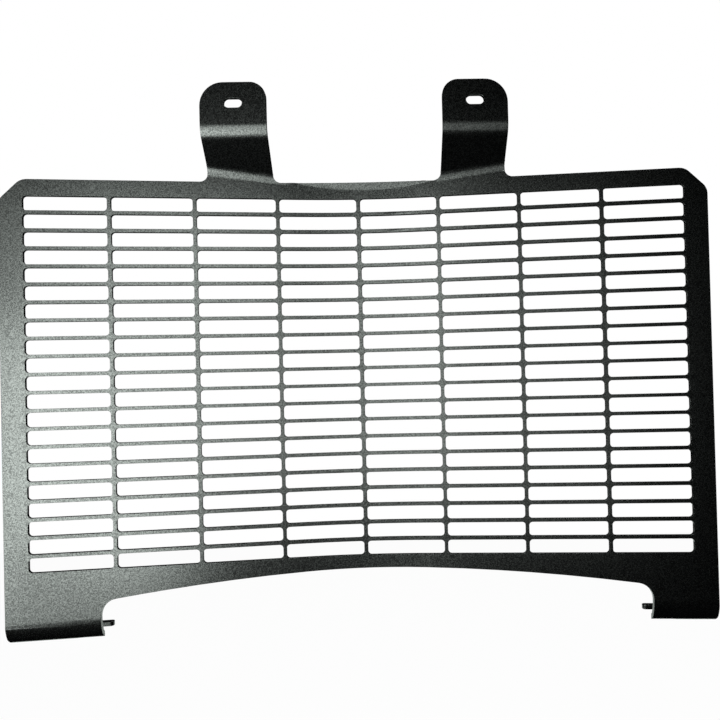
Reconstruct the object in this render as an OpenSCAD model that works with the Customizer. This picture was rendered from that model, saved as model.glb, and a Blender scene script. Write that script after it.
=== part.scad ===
// Radiator guard for a motorcycle: one slotted metal sheet, laser cut flat and then folded.
// Seen from the front (from -Y) it is hollow: a rolled middle between two flat wings.
// X runs across the guard, Y to the rear and Z up. The origin lies midway between
// the two slotted bolt holes, on the rear face of the tabs that are bolted down.

/* [Sheet] */
// Thickness of the sheet
sheet_t = 2.5; // [1.5:0.1:3.5]
// Inside radius of the folds in the two tabs
fold_r = 4; // [2:0.5:6]
// Front radius of the rolled middle
roll_r = 310; // [240:5:400]
// Angle by which each wing comes forward
wing_angle = 6.5; // [3:0.5:7.5]

/* [Grille] */
// Number of columns of slots, an even number
grille_cols = 8; // [4:2:8]
// Number of rows of slots, an odd number
grille_rows = 21; // [7:2:21]
// Length of a slot along the sheet
slot_l = 44.7; // [30:0.1:45.5]
// Height of a slot
slot_h = 8; // [5:0.1:9]
// Radius of a slot's corners
slot_r = 2; // [1:0.1:2.4]
// Width of the upright bars between the columns
upright_bar = 2; // [1.5:0.1:3]
// Height of the level bars between the rows
level_bar = 2; // [1.5:0.1:3]

/* [Frame] */
// Width of the frame beside the outer columns of slots, along the sheet
side_frame_w = 12.8; // [8:0.1:20]
// Height of the frame above the top row of slots
top_frame_h = 9.3; // [6:0.1:14]
// Height of the frame under the bottom row, at the top of the arch
arch_frame_h = 7.5; // [5:0.1:9]
// Radius of the arch along the lower edge
arch_r = 1150; // [1000:10:1500]
// How far the top of the arch lies to the right of the middle
arch_shift = 7; // [0:1:10]
// Legs of the chamfer at the two upper corners
corner_cut = 12; // [8:1:16]
// Radius where that chamfer runs into the edges
corner_r = 8; // [2:0.5:12]

/* [Legs] */
// Width of the left leg, as seen from the front
leg_w_left = 49.7; // [40:0.1:60]
// Width of the right leg
leg_w_right = 35.5; // [32:0.1:60]
// Height from the bottom row of slots down to the start of the curl
leg_h = 29.9; // [24:0.1:40]
// Radius between a leg's inner edge and the arch
leg_r = 9.5; // [4:0.5:12]
// Outside radius of the curl under each leg
curl_r = 10; // [7:0.5:12]
// Depth of the ledge, from the leg's front face to its rear edge
ledge_d = 30; // [28:0.5:40]
// Where the open notch of the ledge starts behind the leg's front face
notch_start = 5.5; // [4:0.5:7]
// How far the notch reaches outward from the leg's inner edge
notch_l = 18; // [12:0.5:22]
// Radius of the notch's closed corners
notch_r = 6; // [2:0.5:7.5]
// Width of the finger behind the notch
finger_w = 4.5; // [3.5:0.5:8]
// How far the finger's tip stays back from the leg's inner edge
finger_back = 3; // [0:0.5:6]
// Radius of the ledge's outer rear corner
ledge_r = 8; // [2:0.5:12]

/* [Tabs] */
// Distance between the middles of the two tabs
tab_span = 134; // [130:1:140]
// Width of a tab
tab_w = 36.6; // [30:0.1:40]
// Angle of the sloping web between the panel and a tab's pad
web_angle = 45; // [40:1:50]
// Height of the web's fold above the top edge of the grille, in the middle of the guard
fold_h = 8.2; // [7:0.1:9]
// How far the pads' front face lies in front of the middle of the panel
pad_forward = 23.5; // [22:0.5:30]
// Height of the bolt holes above the top row of slots
hole_h = 48; // [46:0.1:60]
// Height from a bolt hole to the upper edge of its pad
pad_edge = 11.5; // [9:0.1:14]
// Radius of a pad's outer upper corner
pad_r_outer = 13; // [4:0.5:15]
// Radius of a pad's inner upper corner
pad_r_inner = 9; // [4:0.5:15]
// Radius between a tab and the upper edge of the panel
root_r = 4.5; // [2:0.5:5]
// Length of a slotted bolt hole, end to end
hole_l = 10; // [8.5:0.5:16]
// Width of a slotted bolt hole
hole_w = 5.3; // [5:0.1:8]

/* [Hidden] */
$fn = 64;

col_pitch = slot_l + upright_bar;
row_pitch = slot_h + level_bar;
// Distance along the sheet from the middle to the guard's side edge
sheet_half = (grille_cols * col_pitch - upright_bar) / 2 + side_frame_w;
roll_len = roll_r * wing_angle * PI / 180;
roll_x = roll_r * sin(wing_angle);
roll_y = roll_r * (1 - cos(wing_angle));
half_w = roll_x + (sheet_half - roll_len) * cos(wing_angle);
grille_top = (grille_rows - 1) / 2 * row_pitch + slot_h / 2;
top_z = grille_top + top_frame_h;
arch_z = -grille_top - arch_frame_h;
leg_z = -grille_top - leg_h;
fold_z = grille_top + fold_h;
hole_z = grille_top + hole_h;
pad_z = hole_z + pad_edge;
tab_in = (tab_span - tab_w) / 2;
tab_out = (tab_span + tab_w) / 2;
root_w = tab_w + 2 * root_r;
// How far the folded region starts inside a tab's rounded root; twice as far at the rear face
root_inset = 0.2;
outer_r = fold_r + sheet_t;
// Straight length between the rounded corners of a finger's tip
tip_flat = 0.5;
tip_r = (finger_w - tip_flat) / 2;
// Length that is surely past the part, for cutting shapes and for pieces that are cut off
reach = 100;
// Depth of a cutter that goes right through the sheet
through = 6 * sheet_t;
overlap = 1;
// Makes an arc cross the straight edges that it runs into, where it would only touch them
hair = 0.001;
big_fn = 720;

// A wing and the web of its tab meet along a line that rises outward by line_tilt
line_tilt = atan(sin(wing_angle) / tan(web_angle));
line_z = fold_z + roll_y / tan(web_angle);
line_start = (tab_in - root_r - roll_x) / cos(wing_angle) / cos(line_tilt);
lower_fold = acos(cos(wing_angle) * cos(web_angle));
// The same fold presses a shallow crescent into the upper edge of the rolled middle, where it
// starts at a third of its angle
crest_run = fold_r * tan(web_angle / 2);
crest_angle = web_angle / 3;
crest_x = roll_x - overlap;

// How far the region ahead of depth d reaches past the sheet, so that no two regions end together
function margin_at(d) = overlap + sheet_t - d;
function unit(v) = v / norm(v);
function flat(p) = [p[0], p[1]];
function before(pts, i) = flat(pts[(i + len(pts) - 1) % len(pts)]);
function after(pts, i) = flat(pts[(i + 1) % len(pts)]);
function turn(pts, i) = cross(flat(pts[i]) - before(pts, i), after(pts, i) - flat(pts[i]));
// X of a leg's inner edge, taken as positive on both sides
function leg_x(side) = half_w - (side < 0 ? leg_w_left : leg_w_right);
// Plan position of a point at X = x that lies d behind the front face of a wing
function behind_wing(x, d) = [x, (roll_r + d) / cos(wing_angle) - roll_r - x * tan(wing_angle)];

module mirrored(side) {
    mirror([side < 0 ? 1 : 0, 0, 0]) children();
}

// Turns its children about the axis of the rolled middle
module rolled(angle) {
    translate([0, -roll_r, 0]) rotate([0, 0, -angle]) translate([0, roll_r, 0]) children();
}

// Places its children on the front face, at a distance s along the sheet from the middle
module on_sheet(s) {
    mirrored(s)
        if (abs(s) < roll_len) rolled(abs(s) / roll_len * wing_angle) children();
        else rolled(wing_angle) translate([abs(s) - roll_len, 0, 0]) children();
}

// Extrudes a side view, drawn as (rear, up), along X
module along_x(length) {
    rotate([90, 0, 90]) linear_extrude(height = length) children();
}

// Extrudes a front view, drawn as (X, up), along Y
module along_y(length) {
    rotate([90, 0, 0]) linear_extrude(height = length, center = true) children();
}

// What lies between a corner and the arc that rounds it
module corner_web(pts, i) {
    p = flat(pts[i]);
    r = pts[i][2];
    a = unit(before(pts, i) - p);
    b = unit(after(pts, i) - p);
    half = acos(a * b) / 2;
    centre = unit(a + b) * r / sin(half);
    translate(p) difference() {
        polygon([-centre / 2, a * r / tan(half), centre, b * r / tan(half)]);
        translate(centre) circle(r = r + hair);
    }
}

// A polygon given counterclockwise as [x, y, corner radius]
module rounded(pts) {
    corners = [for (i = [0:len(pts) - 1]) if (pts[i][2] > 0) i];
    difference() {
        union() {
            polygon([for (p = pts) flat(p)]);
            for (i = corners) if (turn(pts, i) < 0) corner_web(pts, i);
        }
        for (i = corners) if (turn(pts, i) > 0) corner_web(pts, i);
    }
}

// Section through a fold of the sheet: a ring sector that starts at an angle
module bend(inside_r, start, angle) {
    side = 4 * (inside_r + sheet_t);
    rotate(start) difference() {
        circle(r = inside_r + sheet_t);
        circle(r = inside_r);
        translate([-side / 2, -side]) square(side);
        rotate(angle) translate([-side / 2, 0]) square(side);
    }
}

// The frame in which a wing and the web of its tab are both seen edge-on
module on_fold_line(x) {
    rolled(wing_angle) translate([0, 0, line_z]) rotate([0, -line_tilt, 0]) translate([x, 0, 0]) children();
}

// Side view of what lies behind the face at depth d of a web and its pad, measured from the fold
// in the middle of the guard
module behind_tab(d) {
    corner = [d - pad_forward, pad_forward / tan(web_angle) + d * tan(web_angle / 2)];
    foot = corner + reach * [sin(web_angle), -cos(web_angle)];
    rounded([
        [corner[0], reach, 0],
        concat(corner, outer_r - d),
        concat(foot, 0),
        [foot[0], reach, 0]
    ]);
}

// What rounds the fold between a wing and a web, at depth d
module fold_web(d) {
    corner = [d, d * tan(lower_fold / 2)];
    on_fold_line(line_start) along_x(root_w + d)
        corner_web([
            corner - [0, reach],
            concat(corner, fold_r + d),
            corner + reach * [-sin(lower_fold), cos(lower_fold)]
        ], 1);
}

// Side view of the folded strip, bounded by its front face, with what lies behind it if asked
module crest_profile(behind) {
    translate([-fold_r, fold_z - crest_run])
        if (behind) difference() {
            translate([0, -fold_r]) square(reach);
            circle(r = outer_r);
            rotate(crest_angle) translate([-reach, -reach]) square([reach + outer_r, reach]);
            rotate(web_angle) translate([-reach, 0]) square([reach + outer_r, reach]);
        }
        else {
            rotate(crest_angle) translate([fold_r, -fold_r]) square([sheet_t, fold_r]);
            bend(fold_r, crest_angle, web_angle - crest_angle);
            rotate(web_angle) translate([fold_r, 0]) square([sheet_t, outer_r]);
        }
}

// Plan of all that lies in front of the panel's face at depth d: two wings and the roll between them
module front_of(d) {
    margin = margin_at(d);
    difference() {
        translate([-half_w - margin, -reach - margin]) square([2 * (half_w + margin), 2 * reach]);
        for (side = [-1, 1]) mirrored(side) rolled(wing_angle)
            translate([-2 * half_w, d]) square([4 * half_w, 2 * reach]);
        difference() {
            intersection_for (side = [-1, 1]) mirrored(side) rolled(wing_angle)
                translate([-2 * half_w, -roll_r]) square([2 * half_w, 2 * roll_r]);
            translate([0, -roll_r]) circle(r = roll_r + d + hair, $fn = big_fn);
        }
    }
}

// All that lies in front of the sheet's face at depth d, with the folds of the tabs
module ahead_of_sheet(d) {
    margin = margin_at(d);
    inset = root_inset * (1 + d / sheet_t);
    difference() {
        translate([0, 0, leg_z - margin]) linear_extrude(height = pad_z - leg_z + 2 * margin) front_of(d);
        for (side = [-1, 1]) mirrored(side) {
            translate([tab_in - root_r + inset, 0, fold_z])
                along_x(root_w - 2 * inset) behind_tab(d);
            fold_web(d);
        }
    }
}

// The folded sheet before its outline is cut
module sheet() {
    difference() {
        union() {
            difference() {
                ahead_of_sheet(sheet_t);
                ahead_of_sheet(0);
            }
            intersection() {
                translate([-crest_x, 0, 0]) along_x(2 * crest_x) crest_profile(false);
                translate([0, -roll_r, 0]) cylinder(r = roll_r + sheet_t, h = hole_z, $fn = big_fn);
            }
        }
        translate([-crest_x, 0, 0]) along_x(2 * crest_x) crest_profile(true);
    }
}

// Removes everything under the arch and between the legs, but leaves the rounded corners
module arch() {
    difference() {
        intersection() {
            translate([arch_shift, arch_z - arch_r]) circle(r = arch_r, $fn = big_fn);
            translate([-leg_x(-1), leg_z - overlap])
                square([leg_x(-1) + leg_x(1), arch_z - leg_z + 2 * overlap]);
        }
        for (side = [-1, 1]) mirrored(side) {
            from = [side * arch_shift, arch_z - arch_r];
            x = leg_x(side) - leg_r;
            centre = [x, from[1] + sqrt(pow(arch_r - leg_r, 2) - pow(x - from[0], 2))];
            difference() {
                polygon([centre, centre + [leg_r, 0], centre + [1.5 * leg_r, 1.5 * leg_r],
                    from + (centre - from) * arch_r / (arch_r - leg_r)]);
                translate(centre) circle(r = leg_r + hair);
            }
        }
    }
}

// Front view of the sheet, down to the curls under the legs
module outline() {
    difference() {
        rounded([
            [-half_w, leg_z, 0],
            [half_w, leg_z, 0],
            [half_w, top_z - corner_cut, corner_r],
            [half_w - corner_cut, top_z, corner_r],
            [-half_w + corner_cut, top_z, corner_r],
            [-half_w, top_z - corner_cut, corner_r]
        ]);
        arch();
    }
    for (side = [-1, 1]) mirrored(side) {
        rounded([
            [tab_in, top_z - overlap, 0],
            [tab_out, top_z - overlap, 0],
            [tab_out, pad_z, pad_r_outer],
            [tab_in, pad_z, pad_r_inner]
        ]);
        difference() {
            translate([tab_in - root_r, top_z - overlap]) square([root_w, root_r + overlap]);
            for (x = [tab_in - root_r, tab_out + root_r])
                translate([x, top_z + root_r]) circle(r = root_r + hair);
        }
    }
}

// The curl under a leg, and the ledge behind it with its open notch and finger
module ledge(side) {
    x = leg_x(side);
    intersection() {
        rolled(wing_angle) translate([0, 0, leg_z]) along_x(half_w) {
            square([sheet_t, overlap]);
            translate([curl_r, 0]) bend(curl_r - sheet_t, 180, 90);
            translate([curl_r, -curl_r]) square([ledge_d, sheet_t]);
        }
        translate([0, 0, leg_z - 2 * curl_r]) linear_extrude(height = 3 * curl_r)
            rounded([
                concat(behind_wing(x, -overlap), 0),
                concat(behind_wing(half_w, -overlap), 0),
                concat(behind_wing(half_w, ledge_d), ledge_r),
                concat(behind_wing(x + finger_back, ledge_d), tip_r),
                concat(behind_wing(x + finger_back, ledge_d - finger_w), tip_r),
                concat(behind_wing(x + notch_l, ledge_d - finger_w), notch_r),
                concat(behind_wing(x + notch_l, notch_start), notch_r),
                concat(behind_wing(x, notch_start), 0)
            ]);
    }
}

module slot() {
    for (dx = [-1, 1], dz = [-1, 1])
        translate([dx * (slot_l / 2 - slot_r), dz * (slot_h / 2 - slot_r)]) circle(r = slot_r);
    square([slot_l - 2 * slot_r, slot_h], center = true);
    square([slot_l, slot_h - 2 * slot_r], center = true);
}

module grille() {
    for (col = [0:grille_cols - 1])
        on_sheet((col - (grille_cols - 1) / 2) * col_pitch)
            along_y(through)
                for (row = [0:grille_rows - 1])
                    translate([0, (row - (grille_rows - 1) / 2) * row_pitch]) slot();
}

module bolt_hole() {
    along_y(through) {
        for (dx = [-1, 1]) translate([dx * (hole_l - hole_w) / 2, 0]) circle(r = hole_w / 2);
        square([hole_l - hole_w, hole_w], center = true);
    }
}

module radiator_guard() {
    color("#2b2c2e") translate([0, pad_forward - sheet_t, -hole_z]) difference() {
        union() {
            intersection() {
                sheet();
                along_y(2 * reach) outline();
            }
            for (side = [-1, 1]) mirrored(side) ledge(side);
        }
        grille();
        for (side = [-1, 1]) translate([side * tab_span / 2, -pad_forward, hole_z]) bolt_hole();
    }
}

radiator_guard();
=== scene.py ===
import math

import bmesh
import bpy
import numpy as np
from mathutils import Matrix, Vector


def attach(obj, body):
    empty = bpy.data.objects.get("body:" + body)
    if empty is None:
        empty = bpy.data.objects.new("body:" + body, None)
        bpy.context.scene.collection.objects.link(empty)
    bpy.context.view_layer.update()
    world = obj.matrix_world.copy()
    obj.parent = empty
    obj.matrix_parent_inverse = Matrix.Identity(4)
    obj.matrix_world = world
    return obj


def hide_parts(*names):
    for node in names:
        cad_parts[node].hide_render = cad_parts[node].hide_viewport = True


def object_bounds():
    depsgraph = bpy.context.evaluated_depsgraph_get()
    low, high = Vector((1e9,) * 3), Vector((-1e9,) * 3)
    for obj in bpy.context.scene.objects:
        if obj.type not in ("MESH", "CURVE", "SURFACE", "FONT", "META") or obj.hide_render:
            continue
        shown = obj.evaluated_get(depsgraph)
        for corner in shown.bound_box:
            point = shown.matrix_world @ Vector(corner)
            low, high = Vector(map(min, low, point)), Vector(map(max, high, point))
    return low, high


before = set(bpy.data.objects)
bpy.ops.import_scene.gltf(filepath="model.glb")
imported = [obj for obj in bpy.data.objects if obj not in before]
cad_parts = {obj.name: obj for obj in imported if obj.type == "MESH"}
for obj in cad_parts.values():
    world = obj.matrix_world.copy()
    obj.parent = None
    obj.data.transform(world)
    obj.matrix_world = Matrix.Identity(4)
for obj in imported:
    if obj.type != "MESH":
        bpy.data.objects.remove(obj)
cadLow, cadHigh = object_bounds()
scene = bpy.context.scene
scene.view_settings.view_transform = "Standard"
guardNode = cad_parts["radiator_guard"]
print("frame loaded:", len(guardNode.data.polygons), "triangles")


class Sock:
    # Wraps one socket of a node tree, so that shader maths is written as an expression
    def __init__(self, tree, socket=None):
        self.tree, self.socket = tree, socket

    def node(self, kind, settings=None, sockets=None, out=0):
        made = self.tree.nodes.new(kind)
        for name, value in (settings or {}).items():
            setattr(made, name, value)
        for name, value in (sockets or {}).items():
            if isinstance(value, Sock):
                self.tree.links.new(value.socket, made.inputs[name])
            else:
                made.inputs[name].default_value = value
        return Sock(self.tree, made.outputs[out] if made.outputs else None)

    def maths(self, operation, first, second):
        return self.node("ShaderNodeMath", {"operation": operation}, {0: first, 1: second})

    def __add__(self, other):
        return self.maths("ADD", self, other)

    def __sub__(self, other):
        return self.maths("SUBTRACT", self, other)

    def __mul__(self, other):
        return self.maths("MULTIPLY", self, other)

    def __rsub__(self, other):
        return self.maths("SUBTRACT", other, self)

    __radd__ = __add__

    def atMost(self, other):
        return self.maths("MINIMUM", self, other)

    def between(self, low, high):  # 0 below low, 1 above high, smooth in between
        limits = {"Value": self, "From Min": low, "From Max": high}
        return self.node("ShaderNodeMapRange", {"interpolation_type": "SMOOTHSTEP"}, limits)

    def mixed(self, first, second):  # a colour from first to second, as this value goes from 0 to 1
        return self.node("ShaderNodeMix", {"data_type": "RGBA"}, {"Factor": self, 6: first, 7: second}, out=2)


def newMaterial(name):
    material = bpy.data.materials.new(name)
    material.use_nodes = True
    material.node_tree.nodes.clear()
    return material, Sock(material.node_tree)


# The camera: where it stands, how it is turned, and how far the frame is shifted from its axis
cameraSettings = {
    "place": (0.01154, -0.38814, -0.15839),
    "turn": (90.693, 1.4195, -1.3992),  # degrees about X, Y and Z
    "lens": 35.0,
    "sensor": 36.0,
    "nearest": 0.01,
    "farthest": 50.0,
    "shift": (-0.05455, 0.02469),
}


def makeCamera(settings):
    data = bpy.data.cameras.new("camera")
    data.sensor_width = settings["sensor"]
    data.lens = settings["lens"]
    data.shift_x, data.shift_y = settings["shift"]
    data.clip_start, data.clip_end = settings["nearest"], settings["farthest"]
    made = bpy.data.objects.new("camera", data)
    made.location = settings["place"]
    made.rotation_euler = [math.radians(a) for a in settings["turn"]]
    scene.collection.objects.link(made)
    scene.camera = made


makeCamera(cameraSettings)
print("camera placed")

# The studio: a pale floor under the guard, a pale wall behind it, and softboxes
studioSettings = {
    "floorDrop": 0.30,  # how far the floor lies below the guard, which hangs from its tabs
    "halfSize": 4.0,
    "wallDistance": 1.6,
    "floorWhite": 0.97,  # share of plain white that the camera sees in the floor
    "wallWhite": 1.0,
    "floorColour": (0.80, 0.80, 0.80, 1.0),
    "floorInRoom": (0.006, 0.006, 0.006, 1.0),  # what the guard sees of the floor and the wall
    "roomBrightness": 0.001,
    "aim": (0.0, 0.016, -0.1525),  # the middle of the guard, to which all softboxes are turned
    "lightColour": (0.91, 1.0, 0.94),
    "white": (1.0, 1.0, 1.0, 1.0),
}
# Panels beside and above the camera, most of them to its left, and two behind the guard
softboxes = {
    "keySoftbox": {"place": (-0.30, -0.43, -0.20), "width": 0.12, "height": 0.24, "watts": 0.88},
    "middleSoftbox": {"place": (-0.18, -0.43, -0.22), "width": 0.12, "height": 0.28, "watts": 0.64},
    "innerSoftbox": {"place": (-0.06, -0.43, -0.18), "width": 0.12, "height": 0.20, "watts": 0.26},
    "upperSoftbox": {"place": (-0.12, -0.43, -0.01), "width": 0.24, "height": 0.14, "watts": 0.48},
    "upperLeftSoftbox": {"place": (-0.30, -0.43, -0.01), "width": 0.12, "height": 0.14, "watts": 0.13},
    "lowerLeftSoftbox": {"place": (-0.42, -0.43, -0.38), "width": 0.12, "height": 0.12, "watts": 0.58},
    "lowerSoftbox": {"place": (-0.24, -0.43, -0.38), "width": 0.24, "height": 0.12, "watts": 0.28},
    "rightSoftbox": {"place": (0.09, -0.43, -0.14), "width": 0.18, "height": 0.34, "watts": 0.2},
    "rearUpperSoftbox": {"place": (0.15, 0.55, 0.95), "width": 0.70, "height": 0.70, "watts": 14.0},
    "rearLowerSoftbox": {"place": (0.0, 0.42, -0.50), "width": 1.00, "height": 0.25, "watts": 1.0},
}


def makePlane(name, corners):
    mesh = bpy.data.meshes.new(name)
    mesh.from_pydata([tuple(c) for c in corners], [], [(0, 1, 2, 3)])
    made = bpy.data.objects.new(name, mesh)
    scene.collection.objects.link(made)
    return made


def makeStudio(settings, lights):
    size = settings["halfSize"]
    level = cadLow.z - settings["floorDrop"]
    wall = settings["wallDistance"]
    ground = [(-size, -size, level), (size, -size, level), (size, size, level), (-size, size, level)]
    upright = [(-size, wall, level), (size, wall, level), (size, wall, size), (-size, wall, size)]
    floor, backdrop = makePlane("floor", ground), makePlane("backdrop", upright)
    for stage, white in ((floor, settings["floorWhite"]), (backdrop, settings["wallWhite"])):
        material, start = newMaterial("pale" + stage.name.capitalize())
        camera = start.node("ShaderNodeLightPath", out="Is Camera Ray")
        seen = (camera + start.node("ShaderNodeLightPath", out="Is Transmission Ray")).atMost(1.0)
        colour = seen.mixed(settings["floorInRoom"], settings["floorColour"])
        lit = start.node("ShaderNodeBsdfDiffuse", {}, {"Color": colour})
        plain = start.node("ShaderNodeEmission", {}, {"Color": settings["white"], "Strength": 1.0})
        shown = start.node("ShaderNodeMixShader", {}, {0: seen * white, 1: lit, 2: plain})
        start.node("ShaderNodeOutputMaterial", {}, {"Surface": shown})
        stage.data.materials.append(material)

    world = bpy.data.worlds.new("room")
    world.use_nodes = True
    world.node_tree.nodes.clear()
    start = Sock(world.node_tree)
    seen = start.node("ShaderNodeLightPath", out="Is Camera Ray")
    dim = settings["roomBrightness"]
    colour = seen.mixed((dim, dim, dim, 1.0), settings["white"])
    shown = start.node("ShaderNodeBackground", {}, {"Color": colour, "Strength": 1.0})
    start.node("ShaderNodeOutputWorld", {}, {"Surface": shown})
    scene.world = world

    for name, box in lights.items():
        data = bpy.data.lights.new(name, "AREA")
        data.shape, data.size, data.size_y = "RECTANGLE", box["width"], box["height"]
        data.energy, data.color = box["watts"], settings["lightColour"]
        made = bpy.data.objects.new(name, data)
        made.location = box["place"]
        made.visible_camera = False
        towards = Vector(settings["aim"]) - Vector(box["place"])
        made.rotation_euler = towards.to_track_quat("-Z", "Y").to_euler()
        scene.collection.objects.link(made)


makeStudio(studioSettings, softboxes)
print("studio lit")

# The powder coat: satin black, with a fine grain whose hollows reflect less than its tops
coatSettings = {
    "colour": (0.0008, 0.0008, 0.0010, 1.0),
    "paler": (0.0022, 0.0022, 0.0024, 1.0),  # of the tops of the grain
    "roughness": 0.265,
    "roughnessSpread": 0.10,
    "ior": 1.9,
    "grain": {"Scale": 1350.0, "Detail": 2.0, "Roughness": 0.6},  # the scale is grains per metre
    "ripple": {"Scale": 420.0, "Detail": 1.0},  # the slight orange peel
    "hollowsTo": 0.34,  # heights of the grain below which it is a hollow and above which it is a top
    "topsFrom": 0.66,
    "middle": 0.5,  # of the grain's heights
    "grainDepth": 0.000006,
    "rippleDepth": 0.000012,
    "hollowDullness": 0.62,  # how much less the deepest hollows reflect
}


def powderCoat(settings):
    material, start = newMaterial("powderCoat")
    place = start.node("ShaderNodeTexCoord", out="Object")
    grain = start.node("ShaderNodeTexNoise", {}, {"Vector": place, **settings["grain"]})
    ripple = start.node("ShaderNodeTexNoise", {}, {"Vector": place, **settings["ripple"]})
    peaks = grain.between(settings["hollowsTo"], settings["topsFrom"])
    colour = peaks.mixed(settings["colour"], settings["paler"])
    dull = (1.0 - peaks) * settings["hollowDullness"]
    roughness = settings["roughness"] + (grain - settings["middle"]) * settings["roughnessSpread"]
    height = grain * settings["grainDepth"] + ripple * settings["rippleDepth"]
    bump = start.node("ShaderNodeBump", {}, {"Height": height, "Strength": 1.0, "Distance": 1.0})
    surface = {"Base Color": colour, "Metallic": dull, "Roughness": roughness, "Normal": bump}
    shader = start.node("ShaderNodeBsdfPrincipled", {}, {**surface, "IOR": settings["ior"]})
    start.node("ShaderNodeOutputMaterial", {}, {"Surface": shader})
    return material


# The guard: the folded sheet with its triangles joined, its folds made rounder, and a fine round
# on every cut edge. A fold or a curve is reshaped where its faces have been cut in strips
guardSettings = {
    "sheet": 0.0025,
    "wingAngle": 6.5,  # degrees by which each wing comes forward
    "rollRadius": 0.310,
    "frontOfMiddle": 0.021,  # Y of the front face in the middle of the panel
    "tabInner": 0.0487,
    "tabOuter": 0.0853,
    "upperFold": {
        "radius": 0.0115,
        "angle": 45.0,
        "place": (0.0, -0.0025, -0.0163),
        "cutFrom": -0.034,  # Z of the lowest faces that are cut
        "beyond": 0.001,  # how far past the sides of the tab they are cut
    },
    "lowerFold": {
        "radius": 0.0085,
        "webAngle": 45.0,
        "height": -0.03781,
        "fade": 0.006,  # width over which it runs out beside the tab, twice
        "cutFrom": -0.0485,
        "beyond": 0.013,  # how far past the inner side of the tab it is cut
        "cutTo": 0.2,  # X up to which it is cut
    },
    "foldFloor": -0.045,  # Z above which points belong to a fold
    "foldDepth": 0.006,  # and how near to its mean plane
    "foldMargin": 1.02,  # width that is cut, as a share of the fold's width
    "crescent": {
        "middle": 0.004,
        "halfWidth": 0.042,
        "depth": 0.0042,
        "top": -0.0387,
        "slope": 0.30,
        "softness": 0.0009,
        "above": 0.0004,  # how far above its top and below its depth points still belong to it
        "below": 0.001,
        "cutDepth": 0.0095,  # of the faces that are cut
        "cutBeside": 0.004,
        "firstRow": 0.0002,
        "lastRow": 0.0006,  # below its depth
        "rows": 11,
        "columns": 29,
    },
    "curl": {
        "start": -0.2859,
        "radius": 0.010,
        "easing": 0.0032,
        "easedRadius": 0.020,
        "share": 0.8,  # of the radius, down to which it is eased
        "flatRow": 0.0006,  # how far above the easing the flat sheet is cut once more
        "cutHeight": 0.026,
    },
    "strips": 13,  # planes at which each fold is cut
    "cutNear": 1e-7,  # points this near to a plane count as lying in it
    "edgeRound": 0.00012,
    "edgeSteps": 2,
    "edgeAngle": 50.0,  # degrees between two faces, from which their edge is rounded
    "creaseAngle": 30.0,  # degrees, from which shading stays sharp
    "shortest": 0.00001,  # length below which an edge is closed up
    "flatAngle": 0.06,  # degrees, below which two faces become one
}


def joinedMesh(node):
    source = node.data
    corners = np.empty(len(source.loops), np.int32)
    source.loops.foreach_get("vertex_index", corners)
    places = np.empty(len(source.vertices) * 3, np.float32)
    source.vertices.foreach_get("co", places)
    places, index = np.unique(places.reshape(-1, 3), axis=0, return_inverse=True)
    mesh = bpy.data.meshes.new("guard")
    mesh.from_pydata(places, [], index.reshape(-1)[corners].reshape(-1, 3))
    return mesh


# Cuts the faces whose middle lies inside, by a plane at each offset from the start
def cutInStrips(shape, near, inside, start, direction, offsets):
    for offset in offsets:
        faces = [face for face in shape.faces if inside(face.calc_center_median())]
        edges = {edge for face in faces for edge in face.edges}
        points = {point for face in faces for point in face.verts}
        at = Vector(start) + Vector(direction) * float(offset)
        chosen = [*faces, *edges, *points]
        bmesh.ops.bisect_plane(shape, geom=chosen, dist=near, plane_co=at, plane_no=direction)


# Start, mean upward tangent and mean outward normal of a tab's two folds
def foldFrames(settings, side):
    wing = math.radians(settings["wingAngle"])
    upper, lower = settings["upperFold"], settings["lowerFold"]
    half = math.radians(upper["angle"]) / 2
    web = math.radians(lower["webAngle"])
    tilt = math.atan(math.sin(wing) / math.tan(web))
    turn = math.acos(math.cos(wing) * math.cos(web))
    along = np.array([side * math.cos(wing), -math.sin(wing), 0.0])
    outward = np.array([-side * math.sin(wing), -math.cos(wing), 0.0])
    upward = np.array([0.0, 0.0, math.cos(tilt)]) - along * math.sin(tilt)
    radius = settings["rollRadius"]
    frontOfWing = settings["frontOfMiddle"] - radius * (1 - math.cos(wing))
    upperFrame = {
        "start": np.array(upper["place"]),
        "up": np.array([0.0, -math.sin(half), math.cos(half)]),
        "out": np.array([0.0, -math.cos(half), -math.sin(half)]),
        "half": half,
        "radius": upper["radius"],
        "hollow": -1.0,
    }
    lowerFrame = {
        "start": np.array([side * radius * math.sin(wing), frontOfWing, lower["height"]]),
        "up": upward * math.cos(turn / 2) + outward * math.sin(turn / 2),
        "out": outward * math.cos(turn / 2) - upward * math.sin(turn / 2),
        "half": turn / 2,
        "radius": lower["radius"],
        "hollow": 1.0,
    }
    return upperFrame, lowerFrame


def smoothStep(low, high, value):
    share = np.clip((value - low) / (high - low), 0.0, 1.0)
    return share * share * (3.0 - 2.0 * share)


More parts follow.
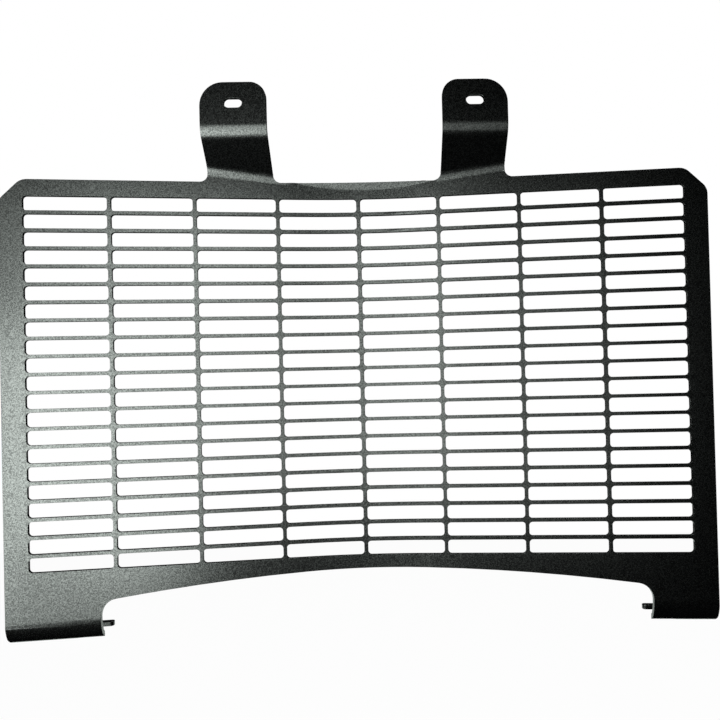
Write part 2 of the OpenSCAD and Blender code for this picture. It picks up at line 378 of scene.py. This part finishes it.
# A fold seen end-on, with v along its mean tangent and w along its mean normal: two lines
# w = hollow * |v| * tan(half) - depth / cos(half), and between them a circle that touches both
def roundFold(settings, fold, side, places):
    thick, half, hollow = settings["sheet"], fold["half"], fold["hollow"]
    inner, outer, across = settings["tabInner"], settings["tabOuter"], side * places[:, 0]
    offset = places - fold["start"]
    v, w = offset @ fold["up"], offset @ fold["out"]
    depth = np.where(hollow * np.abs(v) * math.tan(half) - w > thick / 2 / math.cos(half), thick, 0.0)
    radius = fold["radius"] + hollow * depth
    circle = hollow * fold["radius"] / math.cos(half) - hollow * np.sqrt(np.maximum(radius**2 - v**2, 0.0))
    share = (np.abs(v) < radius * math.sin(half)).astype(float)
    share *= (places[:, 2] > settings["foldFloor"]) & (np.abs(w) < settings["foldDepth"])
    if hollow < 0:
        beyond = settings["upperFold"]["beyond"]
        share *= (across > inner - beyond) & (across < outer + beyond)
    else:
        fade = settings["lowerFold"]["fade"]
        share *= smoothStep(inner - 2 * fade, inner - fade, across)
        share *= 1.0 - smoothStep(outer + fade, outer + 2 * fade, across)
    return places + np.outer(share * (circle - w), fold["out"])


def frontOfPanel(settings, x):  # Y of the front face of the rolled and winged panel
    wing, radius = math.radians(settings["wingAngle"]), settings["rollRadius"]
    rollX = radius * math.sin(wing)
    rolled = radius - np.sqrt(radius**2 - np.minimum(np.abs(x), rollX) ** 2)
    return settings["frontOfMiddle"] - rolled - np.maximum(np.abs(x) - rollX, 0.0) * math.tan(wing)


# The crescent that the folds press into the middle of the upper edge: it comes forward by
# slope * u * u / (u + softness), where u is the height above its lower curve, a parabola
def pressCrescent(settings, places):
    crescent, thick = settings["crescent"], settings["sheet"]
    x, z = places[:, 0], places[:, 2]
    wing, radius = math.radians(settings["wingAngle"]), settings["rollRadius"]
    front = frontOfPanel(settings, x)
    lean = np.cos(np.minimum(np.abs(x) / radius, wing))
    behind = np.where(places[:, 1] - front > thick / 2, thick / lean, 0.0)
    aside = (x - crescent["middle"]) / crescent["halfWidth"]
    lower = crescent["top"] - crescent["depth"] * (1.0 - aside**2)
    above = np.maximum(z - lower, 0.0)
    forward = crescent["slope"] * above**2 / (above + crescent["softness"])
    within = np.abs(x - crescent["middle"]) < crescent["halfWidth"]
    within &= z > crescent["top"] - crescent["depth"] - crescent["below"]
    within &= z < crescent["top"] + crescent["above"]
    moved = places.copy()
    moved[within, 1] = (front + behind - forward)[within]
    return moved


# The start of the curl under each leg is eased: down to where it meets the circle, the sheet
# follows a parabola that begins higher
def easeCurl(settings, places):
    curl, thick = settings["curl"], settings["sheet"]
    lean = math.cos(math.radians(settings["wingAngle"]))
    below = np.maximum(curl["start"] - places[:, 2], 0.0)
    circle = curl["radius"] - np.sqrt(np.maximum(curl["radius"] ** 2 - below**2, 0.0))
    behind = (places[:, 1] - frontOfPanel(settings, places[:, 0])) * lean
    behind -= np.where(behind > circle + thick / 2, thick, 0.0)
    higher = np.maximum(curl["start"] + curl["easing"] - places[:, 2], 0.0)
    eased = higher**2 / (2 * curl["easedRadius"])
    within = (below < curl["radius"] * curl["share"]) * (eased > 0.0)
    push = np.maximum(eased - behind, 0.0) / lean * within
    return places + np.outer(push, (0.0, 1.0, 0.0))


def cutFold(shape, settings, side, fold):
    upper, lower, isLower = settings["upperFold"], settings["lowerFold"], fold["hollow"] > 0
    inner = settings["tabInner"] - (lower if isLower else upper)["beyond"]
    outer = lower["cutTo"] if isLower else settings["tabOuter"] + upper["beyond"]
    floor = (lower if isLower else upper)["cutFrom"]

    def inside(middle):
        return middle.z > floor and inner < side * middle.x < outer

    reach = (fold["radius"] + settings["sheet"] * isLower) * math.sin(fold["half"]) * settings["foldMargin"]
    steps = np.linspace(-1.0, 1.0, settings["strips"])
    cutInStrips(shape, settings["cutNear"], inside, fold["start"], fold["up"], steps * reach)


def cutCrescent(shape, settings):
    crescent, near = settings["crescent"], settings["cutNear"]
    left, right = crescent["middle"] - crescent["halfWidth"], crescent["middle"] + crescent["halfWidth"]
    floor, beside = crescent["top"] - crescent["cutDepth"], crescent["cutBeside"]

    def inside(middle):
        return middle.z > floor and left - beside < middle.x < right + beside

    rows = -np.linspace(crescent["firstRow"], crescent["depth"] + crescent["lastRow"], crescent["rows"])
    columns = np.linspace(left, right, crescent["columns"])
    cutInStrips(shape, near, inside, (0.0, 0.0, crescent["top"]), (0.0, 0.0, 1.0), rows)
    cutInStrips(shape, near, inside, (0.0, 0.0, 0.0), (1.0, 0.0, 0.0), columns)


def cutCurls(shape, settings):
    curl = settings["curl"]

    def inside(middle):
        return middle.z < curl["start"] + curl["cutHeight"]

    eased = np.linspace(curl["easing"], -curl["share"] * curl["radius"], settings["strips"])
    levels = [curl["easing"] + curl["flatRow"], *eased]
    cutInStrips(shape, settings["cutNear"], inside, (0.0, 0.0, curl["start"]), (0.0, 0.0, 1.0), levels)


def makeGuard(settings, node):
    mesh = joinedMesh(node)
    shape = bmesh.new()
    shape.from_mesh(mesh)
    folds = [(side, fold) for side in (-1, 1) for fold in foldFrames(settings, side)]
    for side, fold in folds:
        cutFold(shape, settings, side, fold)
    cutCrescent(shape, settings)
    cutCurls(shape, settings)

    places = np.array([tuple(point.co) for point in shape.verts])
    for side, fold in folds:
        places = roundFold(settings, fold, side, places)
    places = easeCurl(settings, pressCrescent(settings, places))
    for point, place in zip(shape.verts, places):
        point.co = place
    bmesh.ops.remove_doubles(shape, verts=shape.verts, dist=settings["shortest"])
    flat = math.radians(settings["flatAngle"])
    bmesh.ops.dissolve_limit(shape, angle_limit=flat, verts=shape.verts, edges=shape.edges)
    shape.to_mesh(mesh)
    shape.free()
    mesh.polygons.foreach_set("use_smooth", np.ones(len(mesh.polygons), bool))
    mesh.update()
    mesh.set_sharp_from_angle(angle=math.radians(settings["creaseAngle"]))
    made = bpy.data.objects.new("guard", mesh)
    scene.collection.objects.link(made)
    rounded = made.modifiers.new("cutEdges", "BEVEL")
    rounded.width, rounded.segments = settings["edgeRound"], settings["edgeSteps"]
    rounded.limit_method, rounded.angle_limit = "ANGLE", math.radians(settings["edgeAngle"])
    rounded.use_clamp_overlap = False
    rounded.harden_normals = True
    weighted = made.modifiers.new("flatFaces", "WEIGHTED_NORMAL")
    weighted.keep_sharp = True
    return made


guard = makeGuard(guardSettings, guardNode)
guard.data.materials.append(powderCoat(coatSettings))
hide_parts("radiator_guard")
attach(guard, "root")
print("guard made and coated:", len(guard.data.polygons), "faces before its edges are rounded")
